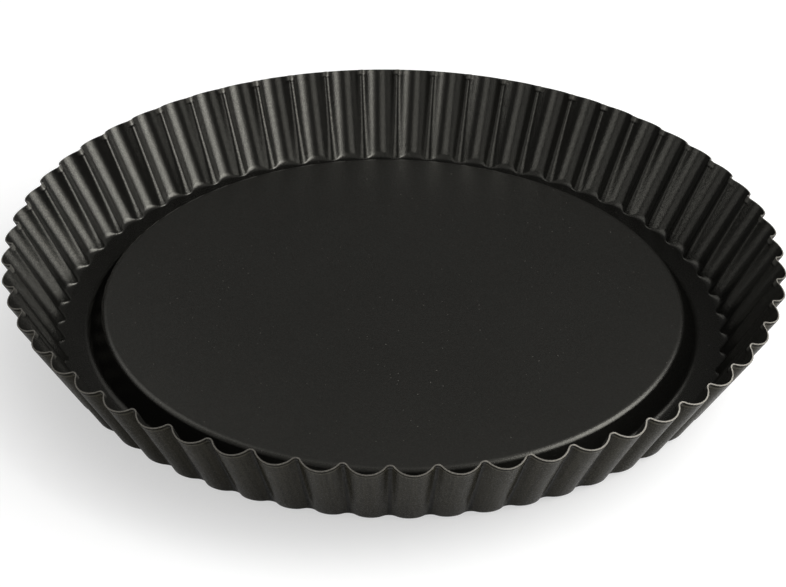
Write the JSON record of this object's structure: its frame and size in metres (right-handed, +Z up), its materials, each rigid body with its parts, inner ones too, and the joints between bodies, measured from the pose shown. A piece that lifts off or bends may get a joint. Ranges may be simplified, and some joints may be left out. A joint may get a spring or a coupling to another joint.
{
  "type": "fluted flan pan",
  "caption": "Round shallow fruit-flan baking pan of pressed non-stick steel, with a flaring fluted wall, a flat moat inside it and a raised flat middle.",
  "frame": {"origin": "on the resting plane, under the middle of the pan", "axes": "+Z up along the pan's axis, +X and -X through the middle of a flute's lobe"},
  "size_m": [0.3, 0.2996, 0.035],
  "materials": {
    "nonstick_coat": "satin",
    "sheet_steel": "satin",
    "outside_lacquer": "satin"
  },
  "bodies": {
    "root": {"inner_nonstick_coat": "nonstick_coat", "steel_pressing": "sheet_steel", "outer_coat": "outside_lacquer"}
  },
  "joints": []
}
